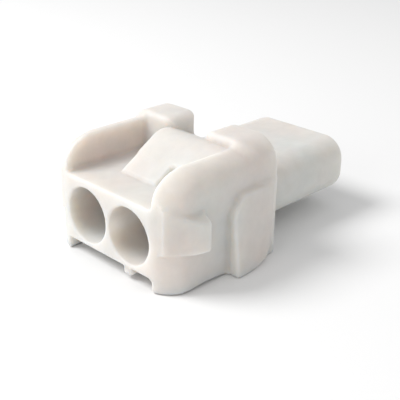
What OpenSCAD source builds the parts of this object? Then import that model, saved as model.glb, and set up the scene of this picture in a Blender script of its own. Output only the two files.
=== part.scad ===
// Two-way in-line connector housing, one moulding.
// The origin is the centre of the overall length and width, on the surface the
// housing stands on with the lower edges of its two side wings. +X points to
// the mating tip, Y runs across the two ways, +Z is up. Inside the modules
// lengths along X are counted from the wire entry.

/* [Ways] */
// Distance between the two terminal cavities
pitch = 6.3; // [6.1:0.05:6.5]
// Radius of a cavity at the wire entry
entry_r = 2.95; // [2.4:0.05:3.0]
// Radius of a cavity inside the nose
socket_r = 2.3; // [1.6:0.05:2.5]
// Depth of the wide part of a cavity, from the wire entry
entry_depth = 9.6; // [6:0.1:14]
// Length of the cone between the two cavity radii
entry_cone = 1.2; // [0.6:0.1:2]
// Height of the cavity centre line above the surface the housing stands on
cavity_z = 4.9; // [4.8:0.05:5.1]
// Width of the lead-in at each cavity mouth
lead_in = 0.15; // [0.05:0.01:0.18]

/* [Body] */
// Height of the underside of the body block
body_bottom = 1.4; // [1.1:0.1:1.6]
// Height of the flat floor over the cavities
floor_z = 8.65; // [8.4:0.05:9]
// Half of the clear width between the side wings
half_gap = 6.35; // [6.25:0.05:6.5]
// Length from the wire entry to the back face of the collar
body_len = 15; // [14.6:0.1:15.5]
// Height of the key rib under the body above the surface it stands on
rib_z = 0.45; // [0.3:0.05:0.9]

/* [Side wings] */
// Thickness of a side wing, which is also its top outer edge radius
wing_t = 2.7; // [2.4:0.1:3.0]
// Radius of the upright outer corner at the wire end
wing_r = 3.4; // [2.9:0.1:3.5]
// Height of a side wing
wing_h = 12.1; // [11.5:0.1:12.4]
// Height at which the sloped front corner of a wing starts
wing_slope = 10.3; // [9.8:0.1:10.8]

/* [Collar] */
// Where the collar starts along the housing
collar_x = 10.8; // [10.4:0.1:11.2]
// Height of the collar lobes
collar_h = 12.8; // [12.6:0.1:13.3]
// Half of the outer width of the collar
collar_half = 9.3; // [9.2:0.05:9.6]
// Outer edge radius of the collar
collar_r = 3.2; // [2.6:0.1:3.4]
// Radius of the upright front corner of the collar
collar_front_r = 2.6; // [2:0.1:2.8]
// Half of the width of the slot in the top of the collar
slot_half = 2.05; // [1.8:0.05:2.4]
// Radius of the inner top edge of a collar lobe
lobe_r = 1.6; // [0.8:0.1:1.8]
// Height of the slot bottom at the back of the collar
slot_z = 9.9; // [9.6:0.1:10.6]
// Where the lower side flange starts along the housing
flange_x = 8; // [7.8:0.1:8.6]
// Half of the outer width of the lower side flanges
flange_half = 10.5; // [10.2:0.05:10.8]
// Height of the lower side flanges
flange_h = 8.4; // [7.6:0.1:8.8]

/* [Latch ramp] */
// Where the foot of the ramp starts
ramp_x = 4.2; // [3.8:0.1:4.8]
// Height of the step at the foot of the ramp
ramp_step = 0.25; // [0.15:0.05:0.6]
// Height of the crest of the ramp
ramp_top = 12.3; // [11.9:0.1:12.4]
// Half of the width of the foot of the ramp
ramp_half = 2.6; // [2.5:0.1:3]
// Length of the narrow foot of the ramp
ramp_foot = 2.3; // [1.4:0.1:3]

/* [Side locking ramps] */
// Far end of the locking ramp, where its square catch face stands
lock_x = 4.6; // [4.2:0.1:5.4]
// Height of the lower edge of the locking ramp
lock_z0 = 4.25; // [3.8:0.05:4.6]
// Height of the upper edge of the locking ramp
lock_z1 = 8.3; // [8:0.05:8.6]
// How far the catch face stands out from the wing
lock_out = 0.95; // [0.8:0.05:1.2]

/* [Nose] */
// Overall length of the housing
total_len = 29.9; // [27:0.1:32]
// Half of the width of the nose
nose_half = 6.8; // [6.6:0.05:7]
// Height of the underside of the nose
nose_bottom = 1.8; // [1.7:0.05:1.95]
// Height of the top of the nose
nose_top = 8.3; // [8.1:0.05:8.5]
// Edge radius along the nose
nose_r = 2.6; // [2:0.05:2.9]

/* [Hidden] */
nylon = [0.86, 0.85, 0.82];
$fn = 64;
wing_out = half_gap + wing_t;
round_z = wing_h - wing_t;
// height at which the slope of the ramp starts, and where its crest lies
ramp_z0 = floor_z + ramp_step;
crest_x = 10.3;
// shallow arch under each wing, from its front foot to the flange
arch_x0 = 1.9;
arch_rise = 0.3;
arch_x = (arch_x0 + flange_x) / 2;
arch_half = (flange_x - arch_x0) / 2;
arch_r = (arch_half * arch_half + arch_rise * arch_rise) / (2 * arch_rise);

module at_sides() {
    children();
    mirror([0, 1, 0]) children();
}

// Bar along X with all four long edges rounded.
module round_bar(len, half, z0, z1, r) {
    translate([0, -half + r, z0]) cube([len, 2 * (half - r), z1 - z0]);
    translate([0, -half, z0 + r]) cube([len, 2 * half, z1 - z0 - 2 * r]);
    for (s = [-1, 1], z = [z0 + r, z1 - r])
        translate([0, s * (half - r), z]) rotate([0, 90, 0]) cylinder(h = len, r = r);
}

// One wing before its front is shaped: flat inside, quarter round outside,
// with a strip that ties it into the body block.
module wing_section(len) {
    translate([0, half_gap, 0]) cube([len, wing_t, round_z]);
    intersection() {
        translate([0, half_gap, round_z]) rotate([0, 90, 0]) cylinder(h = len, r = wing_t);
        translate([-1, half_gap, round_z - 1]) cube([len + 2, wing_t + 1, wing_t + 2]);
    }
    translate([0, half_gap - 0.3, body_bottom + 0.1])
        cube([len, 0.6, floor_z - body_bottom - 0.2]);
}

// Plan outline of the wings: the upright outer corner at the wire end is round.
module wing_plan() {
    translate([wing_r, half_gap - 1, -1]) cube([body_len, wing_t + 1, wing_h + 2]);
    translate([0, half_gap - 1, -1]) cube([body_len, 1, wing_h + 2]);
    intersection() {
        translate([wing_r, wing_out - wing_r, -1]) cylinder(h = wing_h + 2, r = wing_r);
        translate([-1, half_gap - 0.01, -1]) cube([wing_r + 1.01, wing_t + 1, wing_h + 2]);
    }
}

module wing() {
    difference() {
        intersection() {
            wing_section(collar_x + 2.8);
            wing_plan();
        }
        // sloped front corner, cut lower towards the outside
        translate([0, half_gap, wing_slope]) rotate([0, 45.4, 140.7])
            translate([-10, -10, 0]) cube([20, 20, 10]);
        // shallow arch under the wing, between its front foot and the flange
        translate([arch_x, half_gap - 1, arch_rise - arch_r]) rotate([-90, 0, 0])
            cylinder(h = wing_t + 2, r = arch_r, $fn = 128);
    }
}

// Section of one collar side: upright, with a round outer top edge and a round
// inner top edge towards the slot.
module collar_section() {
    len = body_len - collar_x;
    translate([collar_x, half_gap - 0.5, 0])
        cube([len, collar_half - half_gap + 0.5, collar_h - collar_r]);
    translate([collar_x, slot_half, floor_z - 1])
        cube([len, collar_half - collar_r - slot_half, collar_h - lobe_r - floor_z + 1]);
    translate([collar_x, slot_half + lobe_r, floor_z - 1])
        cube([len, collar_half - collar_r - slot_half - lobe_r, collar_h - floor_z + 1]);
    translate([collar_x, collar_half - collar_r, collar_h - collar_r])
        rotate([0, 90, 0]) cylinder(h = len, r = collar_r);
    translate([collar_x, slot_half + lobe_r, collar_h - lobe_r])
        rotate([0, 90, 0]) cylinder(h = len, r = lobe_r);
}

// One collar side; its upright front corner is round.
module collar_side() {
    intersection() {
        collar_section();
        union() {
            translate([collar_x, 0, -1])
                cube([body_len, collar_half - collar_front_r, collar_h + 2]);
            translate([collar_x + collar_front_r, 0, -1])
                cube([body_len, collar_half + 1, collar_h + 2]);
            translate([collar_x + collar_front_r, collar_half - collar_front_r, -1])
                cylinder(h = collar_h + 2, r = collar_front_r);
        }
    }
}

// Lower side flange that the panel or the mating half stops against.
module flange() {
    translate([flange_x, half_gap, 0]) rotate([90, 0, 0]) mirror([0, 0, 1])
        linear_extrude(height = flange_half - half_gap)
            polygon([[0.6, 0], [5.1, 0], [6.4, 1.6], [6.4, flange_h], [1.6, flange_h],
                     [0, flange_h - 1.8], [0, 0.6]]);
}

// Side locking ramp: flush at the wire end, square catch face at the other,
// with its upper face sloping down and out.
module lock() {
    intersection() {
        translate([0, 0, lock_z0]) linear_extrude(height = lock_z1 - lock_z0)
            polygon([[0.4, half_gap + 0.7], [lock_x, half_gap + 0.7],
                     [lock_x, wing_out + lock_out], [3.1, wing_out + lock_out],
                     [0.4, wing_out - 1.3]]);
        rotate([90, 0, 90]) linear_extrude(height = lock_x + 1)
            polygon([[half_gap, lock_z0 - 1], [wing_out + lock_out + 1, lock_z0 - 1],
                     [wing_out + lock_out + 1, lock_z1 - 1.9], [wing_out + lock_out, lock_z1 - 1.1],
                     [wing_out - 0.4, lock_z1], [wing_out - 0.4, lock_z1 + 1],
                     [half_gap, lock_z1 + 1]]);
    }
}

// Ramp between the wings: a narrow stepped foot, then a full slope up to a
// crest at the collar, with a clear slot left along one wing.
module ramp() {
    rotate([90, 0, 0]) translate([0, 0, -ramp_half])
        linear_extrude(height = 2 * ramp_half) ramp_side();
    intersection() {
        rotate([90, 0, 0]) translate([0, 0, -ramp_half])
            linear_extrude(height = ramp_half + half_gap + 0.2) ramp_side();
        translate([ramp_x + ramp_foot, -half_gap - 0.2, floor_z - 1])
            cube([body_len, half_gap + ramp_half + 0.2, 6]);
    }
}
module ramp_side() {
    polygon([[ramp_x, floor_z - 0.5], [body_len, floor_z - 0.5], [body_len, slot_z],
             [crest_x, ramp_top], [crest_x - 0.7, ramp_top - 0.15], [ramp_x, ramp_z0]]);
}

module cavity(y) {
    translate([0, y, cavity_z]) rotate([0, 90, 0]) {
        translate([0, 0, -1]) cylinder(h = entry_depth + 1, r = entry_r);
        translate([0, 0, entry_depth]) cylinder(h = entry_cone, r1 = entry_r, r2 = socket_r);
        cylinder(h = total_len + 1, r = socket_r);
        translate([0, 0, -0.01]) cylinder(h = lead_in, r1 = entry_r + lead_in, r2 = entry_r);
        translate([0, 0, total_len - 0.4]) cylinder(h = 0.41, r1 = socket_r, r2 = socket_r + 0.3);
    }
}

module housing() color(nylon) translate([-total_len / 2, 0, 0]) difference() {
    union() {
        // body block
        translate([0, -half_gap, body_bottom])
            cube([body_len, 2 * half_gap, floor_z - body_bottom]);
        // key rib under the block
        translate([0.25, -3.3, rib_z]) cube([4.75, 1.2, body_bottom - rib_z + 0.3]);
        at_sides() {
            wing();
            collar_side();
            flange();
            lock();
        }
        ramp();
        // nose
        translate([body_len - 1, 0, 0])
            round_bar(total_len - body_len + 1, nose_half, nose_bottom, nose_top, nose_r);
    }
    for (s = [-1, 1]) cavity(s * pitch / 2);
}

housing();
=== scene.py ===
import math

import bpy
import numpy as np
from mathutils import Matrix, Vector


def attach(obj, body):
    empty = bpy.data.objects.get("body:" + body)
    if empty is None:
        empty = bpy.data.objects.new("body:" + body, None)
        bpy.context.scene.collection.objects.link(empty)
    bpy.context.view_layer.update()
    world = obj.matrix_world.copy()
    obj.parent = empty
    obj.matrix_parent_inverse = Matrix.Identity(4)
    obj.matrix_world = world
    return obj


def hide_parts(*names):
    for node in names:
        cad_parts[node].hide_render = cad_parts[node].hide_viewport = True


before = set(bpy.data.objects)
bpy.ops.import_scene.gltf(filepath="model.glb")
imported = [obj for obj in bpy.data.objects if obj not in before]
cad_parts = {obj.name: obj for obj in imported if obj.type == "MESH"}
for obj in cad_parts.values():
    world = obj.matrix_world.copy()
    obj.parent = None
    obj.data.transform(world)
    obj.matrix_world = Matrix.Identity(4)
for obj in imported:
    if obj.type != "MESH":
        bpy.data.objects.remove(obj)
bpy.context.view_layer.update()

# ---------------------------------------------------------------------------
# The moulding.  One smooth body with rounded edges and filleted corners, given
# by a distance field in millimetres.  x is counted from the wire entry, y from
# the middle, z from the surface the housing stands on, as in the CAD part.
# ---------------------------------------------------------------------------
TOTAL = 29.9      # overall length
GRID = 0.205      # spacing of the net that the surface is first caught on


def both(a, b, r=0.0):
    """Intersection; the edge where the two meet is round, of radius r."""
    m = np.maximum(a, b)
    if np.isscalar(r) and r <= 0:
        return m
    return np.minimum(-r, m) + np.hypot(np.maximum(a + r, 0), np.maximum(b + r, 0))


def join(a, b, r=0.0):
    """Union; the corner where the two meet is filled, of radius r."""
    m = np.minimum(a, b)
    if np.isscalar(r) and r <= 0:
        return m
    return np.maximum(r, m) - np.hypot(np.maximum(r - a, 0), np.maximum(r - b, 0))


def cut(a, b, r=0.0):
    return both(a, -b, r)


def slab(t, lo, hi):
    return np.maximum(lo - t, t - hi)


def box3(x, y, z, lo, hi, r):
    q = [np.abs(t - (l + h) / 2) - (h - l) / 2 + r for t, l, h in zip((x, y, z), lo, hi)]
    out = np.sqrt(np.maximum(q[0], 0) ** 2 + np.maximum(q[1], 0) ** 2 + np.maximum(q[2], 0) ** 2)
    return out + np.minimum(np.maximum(np.maximum(q[0], q[1]), q[2]), 0) - r


def box2(u, v, lo, hi, r):
    q = [np.abs(t - (l + h) / 2) - (h - l) / 2 + r for t, l, h in zip((u, v), lo, hi)]
    return np.hypot(np.maximum(q[0], 0), np.maximum(q[1], 0)) + np.minimum(np.maximum(q[0], q[1]), 0) - r


def line(u, v, p, q):
    """Signed distance to the straight line from p to q; positive on its left."""
    du, dv = q[0] - p[0], q[1] - p[1]
    n = math.hypot(du, dv)
    return (-(dv) * (u - p[0]) + du * (v - p[1])) / n


def moulding(x, y, z):
    ay = np.abs(y)

    # body block and both side wings, round outside and at the wire end
    f = both(box2(y, z, (-9.05, -8), (9.05, 12.1), 2.7),
             box2(x, y, (0, -9.05), (24, 9.05), 3.4), 0.45)
    # sloped front corners, cut lower towards the outside
    f = both(f, -0.5515 * x + 0.7018 * (z - 10.3) + 0.4512 * (ay - 6.35), 0.9)
    f = both(f, x - 12.6, 0.2)
    f = both(f, -z, 0.3)
    channel = both(ay - 6.35, 8.65 - z, 0.45)
    f = cut(f, channel, 0.3)
    arch = np.hypot(x - 4.95, z - (0.3 - 15.65)) - 15.65
    f = cut(f, arch, 0.25)

    # collar with its two lobes, flush with the wings but a little higher
    c = both(box2(y, z, (-9.3, -9), (9.3, 12.8), 3.2),
             box2(x, y, (10.8, -9.3), (24, 9.3), 2.6), 0.6)
    c = both(c, x - 15.0, 0.5)
    lobes = both(c, 2.05 - ay, 1.6)
    low = both(c, z - 8.65, 0.2)
    c = join(lobes, low, 0.3)
    c = both(c, -z, 0.3)
    f = join(f, c, 0.5)

    # raised ramp between the wings
    up = line(x, z, (4.2, 8.9), (9.6, 12.15))
    down = line(x, z, (10.3, 12.3), (15.0, 9.9))
    side = both(both(up, z - 12.3, 0.8), down, 1.0)
    side = both(side, slab(x, 4.2, 15.0), 0.2)
    plan = join(ay - 2.6, both(slab(y, -6.7, 2.6), 6.5 - x, 0.3), 0.35)
    r = both(both(side, plan, 0.3), 8.0 - z)
    f = join(f, r, 0.25)

    # lower side flanges, leaning out towards the foot
    g = both(slab(x, 8.0, 14.6), slab(z, 0, 8.4), 0.3)
    g = both(g, line(x, z, (8.0, 6.6), (9.6, 8.4)), 0.4)
    g = both(g, line(x, z, (14.6, 1.6), (13.2, 0)), 0.3)
    g = both(g, (ay - 10.5 + 0.12 * z) / 1.0072, 0.35)
    g = both(g, line(x, ay, (11.2, 10.5), (15.2, 9.1)), 0.8)
    g = both(g, 6.2 - ay)
    f = join(f, g, 0.5)

    # side locking ramps
    k = both(line(x, ay, (0.35, 7.7), (3.1, 10.0)), ay - 10.0, 0.8)
    k = both(k, x - 4.6, 0.22)
    k = both(k, 4.25 - z, 0.25)
    k = both(k, line(ay, z, (8.65, 8.35), (10.0, 7.25)), 0.25)
    k = both(both(k, 7.2 - ay), 0.4 - x)
    f = join(f, k, 0.22)

    # open underside between the wings, with one small key rib
    f = cut(f, both(ay - 6.35, z - 1.45, 0.5), 0.25)
    f = join(f, both(both(slab(y, -3.3, -2.1), slab(x, 0.25, 5.0), 0.3), slab(z, 0.45, 2.5), 0.25), 0.25)

    # nose
    n = box2(y, z, (-6.8, 1.8), (6.8, 8.3), 2.6)
    n = both(n, slab(x, 13.0, TOTAL), 0.45)
    f = join(f, n, 0.35)

    # the two terminal cavities
    rad = np.hypot(ay - 3.15, z - 4.9)
    wall = np.interp(x, (9.6, 10.8), (2.95, 2.3))
    f = cut(f, rad - wall, 0.19)
    return f


def surface(field, lo, hi, h):
    """A closed net of quads on the field's zero level: one point in each cell the
    surface passes, joined across each grid edge it crosses, then drawn onto the
    exact surface and evened out along it."""
    n = [int(math.ceil((b - a) / h)) + 1 for a, b in zip(lo, hi)]
    ax = [a + h * np.arange(k) for a, k in zip(lo, n)]
    X, Y, Z = np.meshgrid(*ax, indexing="ij")
    V = field(X, Y, Z)
    inside = V < 0
    cells = [k - 1 for k in n]

    def corner(A, i, j, k):
        return A[i:i + cells[0], j:j + cells[1], k:k + cells[2]]

    total = np.zeros(cells)
    for i in (0, 1):
        for j in (0, 1):
            for k in (0, 1):
                total += corner(inside, i, j, k)
    active = (total > 0) & (total < 8)
    index = -np.ones(cells, int)
    index[active] = np.arange(active.sum())
    base = np.argwhere(active)
    points = np.zeros((len(base), 3))
    count = np.zeros(len(base))
    for axis in range(3):
        others = [a for a in range(3) if a != axis]
        for p in (0, 1):
            for q in (0, 1):
                off = [0, 0, 0]
                off[others[0]], off[others[1]] = p, q
                i0 = base + off
                i1 = i0.copy()
                i1[:, axis] += 1
                v0 = V[i0[:, 0], i0[:, 1], i0[:, 2]]
                v1 = V[i1[:, 0], i1[:, 1], i1[:, 2]]
                hit = (v0 < 0) != (v1 < 0)
                t = np.where(hit, v0 / np.where(hit, v0 - v1, 1), 0)
                w = i0.astype(float)
                w[:, axis] += t
                points[hit] += w[hit]
                count[hit] += 1
    points = points / count[:, None] * h + np.array(lo)

    quads = []
    for axis in range(3):
        u, v = (axis + 1) % 3, (axis + 2) % 3
        a = [slice(None)] * 3
        b = [slice(None)] * 3
        a[axis], b[axis] = slice(0, -1), slice(1, None)
        ia, ib = inside[tuple(a)], inside[tuple(b)]
        e = np.argwhere(ia != ib)
        e = e[(e[:, u] > 0) & (e[:, v] > 0) & (e[:, u] < n[u] - 1) & (e[:, v] < n[v] - 1)]
        ring = []
        for du, dv in ((-1, -1), (0, -1), (0, 0), (-1, 0)):
            c = e.copy()
            c[:, u] += du
            c[:, v] += dv
            ring.append(index[c[:, 0], c[:, 1], c[:, 2]])
        ring = np.stack(ring, 1)
        out = ia[e[:, 0], e[:, 1], e[:, 2]]
        ring[~out] = ring[~out][:, ::-1]
        quads.append(ring)
    quads = np.concatenate(quads)

    def value(P):
        return field(P[:, 0], P[:, 1], P[:, 2])

    def slope(P, d=0.02):
        g = np.zeros_like(P)
        for a in range(3):
            s = np.zeros(3)
            s[a] = d
            g[:, a] = (value(P + s) - value(P - s)) / (2 * d)
        return g

    def settle(P, times):
        for _ in range(times):
            g = slope(P)
            step = (value(P) / np.maximum((g * g).sum(1), 0.25))[:, None] * g
            P = P - np.clip(step, -0.5 * h, 0.5 * h)
        return P

    points = settle(points, 2)
    ends = np.concatenate([quads[:, [0, 1]], quads[:, [1, 2]], quads[:, [2, 3]], quads[:, [3, 0]]])
    ends = np.concatenate([ends, ends[:, ::-1]])
    degree = np.bincount(ends[:, 0], minlength=len(points)).astype(float)[:, None]
    for _ in range(6):
        mean = np.stack([np.bincount(ends[:, 0], weights=points[ends[:, 1], a], minlength=len(points))
                         for a in range(3)], 1) / degree
        g = slope(points)
        g /= np.maximum(np.linalg.norm(g, axis=1), 1e-6)[:, None]
        d = mean - points
        d -= (d * g).sum(1)[:, None] * g
        points = settle(points + 0.5 * d, 1)
    points = settle(points, 2)
    normals = slope(points, 0.03)
    normals /= np.maximum(np.linalg.norm(normals, axis=1), 1e-6)[:, None]
    return points, quads, normals


def mesh_object(name, points, quads, normals=None):
    me = bpy.data.meshes.new(name)
    me.vertices.add(len(points))
    me.vertices.foreach_set("co", np.asarray(points, np.float32).ravel())
    me.loops.add(quads.size)
    me.loops.foreach_set("vertex_index", quads.astype(np.int32).ravel())
    me.polygons.add(len(quads))
    me.polygons.foreach_set("loop_start", (np.arange(len(quads)) * 4).astype(np.int32))
    me.update(calc_edges=True)
    me.validate()
    me.polygons.foreach_set("use_smooth", np.ones(len(me.polygons), bool))
    if normals is not None and len(me.vertices) == len(normals):
        me.normals_split_custom_set_from_vertices([tuple(v) for v in normals])
    o = bpy.data.objects.new(name, me)
    bpy.context.scene.collection.objects.link(o)
    return o


points, quads, normals = surface(moulding, (-0.7, -10.85, -0.7), (30.6, 10.85, 13.8), GRID)
points = (points - np.array([TOTAL / 2, 0, 0])) * 0.001
body = mesh_object("moulding", points, quads, normals)
print("moulding:", len(points), "points,", len(quads), "quads")


# ---------------------------------------------------------------------------
# Materials
# ---------------------------------------------------------------------------
def node(nt, kind, **values):
    n = nt.nodes.new(kind)
    for k, v in values.items():
        if hasattr(n, k):
            setattr(n, k, v)
        else:
            n.inputs[k].default_value = v
    return n


def natural_nylon():
    """Milky natural nylon: light enters and spreads a little way, the skin has the
    fine grain of the mould, faint flow marks and a slight drift of colour."""
    m = bpy.data.materials.new("natural_nylon")
    m.use_nodes = True
    nt = m.node_tree
    nt.nodes.clear()
    link = nt.links.new
    out = nt.nodes.new("ShaderNodeOutputMaterial")
    bsdf = nt.nodes.new("ShaderNodeBsdfPrincipled")
    link(bsdf.outputs[0], out.inputs[0])
    bsdf.inputs["Subsurface Weight"].default_value = 1.0
    bsdf.inputs["Subsurface Radius"].default_value = (1.0, 0.85, 0.7)
    bsdf.inputs["Subsurface Scale"].default_value = 0.0030
    bsdf.inputs["IOR"].default_value = 1.5
    bsdf.inputs["Specular IOR Level"].default_value = 0.35

    place = nt.nodes.new("ShaderNodeTexCoord")
    # broad drift between a warm and a cool white
    drift = nt.nodes.new("ShaderNodeTexNoise")
    drift.inputs["Scale"].default_value = 95
    drift.inputs["Detail"].default_value = 3
    drift.inputs["Roughness"].default_value = 0.5
    link(place.outputs["Object"], drift.inputs["Vector"])
    ramp = nt.nodes.new("ShaderNodeValToRGB")
    ramp.color_ramp.elements[0].position = 0.36
    ramp.color_ramp.elements[0].color = (0.700, 0.655, 0.620, 1)
    ramp.color_ramp.elements[1].position = 0.64
    ramp.color_ramp.elements[1].color = (0.675, 0.680, 0.655, 1)
    link(drift.outputs["Fac"], ramp.inputs["Fac"])
    # small cloudy mottling inside the plastic
    cloud = nt.nodes.new("ShaderNodeTexNoise")
    cloud.inputs["Scale"].default_value = 620
    cloud.inputs["Detail"].default_value = 4
    cloud.inputs["Roughness"].default_value = 0.6
    link(place.outputs["Object"], cloud.inputs["Vector"])
    cloudy = nt.nodes.new("ShaderNodeMapRange")
    cloudy.inputs["From Min"].default_value = 0.3
    cloudy.inputs["From Max"].default_value = 0.7
    cloudy.inputs["To Min"].default_value = 0.955
    cloudy.inputs["To Max"].default_value = 1.03
    link(cloud.outputs["Fac"], cloudy.inputs["Value"])
    tint = nt.nodes.new("ShaderNodeVectorMath")
    tint.operation = "SCALE"
    link(ramp.outputs["Color"], tint.inputs[0])
    link(cloudy.outputs["Result"], tint.inputs["Scale"])
    link(tint.outputs["Vector"], bsdf.inputs["Base Color"])
    # skin: fine mould grain, faint flow marks along the length
    grain = nt.nodes.new("ShaderNodeTexNoise")
    grain.inputs["Scale"].default_value = 6500
    grain.inputs["Detail"].default_value = 3
    link(place.outputs["Object"], grain.inputs["Vector"])
    stretch = nt.nodes.new("ShaderNodeMapping")
    stretch.inputs["Scale"].default_value = (0.22, 1, 1)
    link(place.outputs["Object"], stretch.inputs["Vector"])
    flow = nt.nodes.new("ShaderNodeTexNoise")
    flow.inputs["Scale"].default_value = 900
    flow.inputs["Detail"].default_value = 4
    flow.inputs["Roughness"].default_value = 0.55
    link(stretch.outputs["Vector"], flow.inputs["Vector"])
    rough = nt.nodes.new("ShaderNodeMapRange")
    rough.inputs["From Min"].default_value = 0.3
    rough.inputs["From Max"].default_value = 0.7
    rough.inputs["To Min"].default_value = 0.42
    rough.inputs["To Max"].default_value = 0.56
    link(flow.outputs["Fac"], rough.inputs["Value"])
    link(rough.outputs["Result"], bsdf.inputs["Roughness"])
    b1 = nt.nodes.new("ShaderNodeBump")
    b1.inputs["Strength"].default_value = 0.35
    b1.inputs["Distance"].default_value = 0.000012
    link(grain.outputs["Fac"], b1.inputs["Height"])
    b2 = nt.nodes.new("ShaderNodeBump")
    b2.inputs["Strength"].default_value = 0.45
    b2.inputs["Distance"].default_value = 0.00006
    link(flow.outputs["Fac"], b2.inputs["Height"])
    link(b1.outputs["Normal"], b2.inputs["Normal"])
    link(b2.outputs["Normal"], bsdf.inputs["Normal"])
    return m


nylon = natural_nylon()
body.data.materials.append(nylon)
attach(body, "root")
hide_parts("housing")
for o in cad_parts.values():
    o.data.materials.clear()
    o.data.materials.append(nylon)

# ---------------------------------------------------------------------------
# Stage
# ---------------------------------------------------------------------------
floor_mesh = bpy.data.meshes.new("floor")
s = 3.0
floor_mesh.from_pydata([(-s, -s, 0), (s, -s, 0), (s, s, 0), (-s, s, 0)], [], [(0, 1, 2, 3)])
floor = bpy.data.objects.new("floor", floor_mesh)
floor.location.z = -0.00003
bpy.context.scene.collection.objects.link(floor)
fm = bpy.data.materials.new("floor_white")
fm.use_nodes = True
fb = fm.node_tree.nodes["Principled BSDF"]
fb.inputs["Roughness"].default_value = 0.9
fb.inputs["Specular IOR Level"].default_value = 0.1
fb.inputs["Base Color"].default_value = (0.90, 0.90, 0.90, 1)
floor_mesh.materials.append(fm)

world = bpy.data.worlds.new("studio")
bpy.context.scene.world = world
world.use_nodes = True
bg = world.node_tree.nodes["Background"]
bg.inputs[0].default_value = (1, 1, 1, 1)
bg.inputs[1].default_value = 0.62


def area(name, at, to, size, power, colour=(1, 1, 1)):
    d = bpy.data.lights.new(name, "AREA")
    d.shape = "DISK"
    d.size = size
    d.energy = power
    d.color = colour
    o = bpy.data.objects.new(name, d)
    bpy.context.scene.collection.objects.link(o)
    o.location = at
    o.rotation_euler = (Vector(to) - Vector(at)).to_track_quat("-Z", "Y").to_euler()
    return o


area("key", (-0.16, 0.16, 0.26), (0, 0, 0.004), 0.16, 0.80)
area("side", (-0.34, -0.02, 0.12), (0, 0, 0.006), 0.20, 0.16)

# ---------------------------------------------------------------------------
# Camera, at the photo's viewing angle
# ---------------------------------------------------------------------------
az, el, roll = (math.radians(v) for v in (-45.6807, 24.3965, 0.9215))
back = Vector((math.sin(az) * math.cos(el), -math.cos(az) * math.cos(el), math.sin(el)))
right = Vector((math.cos(az), math.sin(az), 0))
up = back.cross(right)
R = math.cos(roll) * right + math.sin(roll) * up
U = -math.sin(roll) * right + math.cos(roll) * up
target = Vector((13.2024 - TOTAL / 2, -0.1048, 3.4321)) * 0.001
target += (U - R) * 0.00015
where = target + back * 0.0861687
cam_data = bpy.data.cameras.new("camera")
cam_data.sensor_fit = "HORIZONTAL"
cam_data.sensor_width = 36
cam_data.lens = 787.372 * 36 / 400
cam_data.clip_start = 0.005
cam_data.clip_end = 20
cam = bpy.data.objects.new("camera", cam_data)
cam.matrix_world = Matrix((
    (R.x, U.x, back.x, where.x),
    (R.y, U.y, back.y, where.y),
    (R.z, U.z, back.z, where.z),
    (0, 0, 0, 1)))
bpy.context.scene.collection.objects.link(cam)
bpy.context.scene.camera = cam
bpy.context.scene.view_settings.view_transform = "Standard"
bpy.context.scene.view_settings.look = "None"
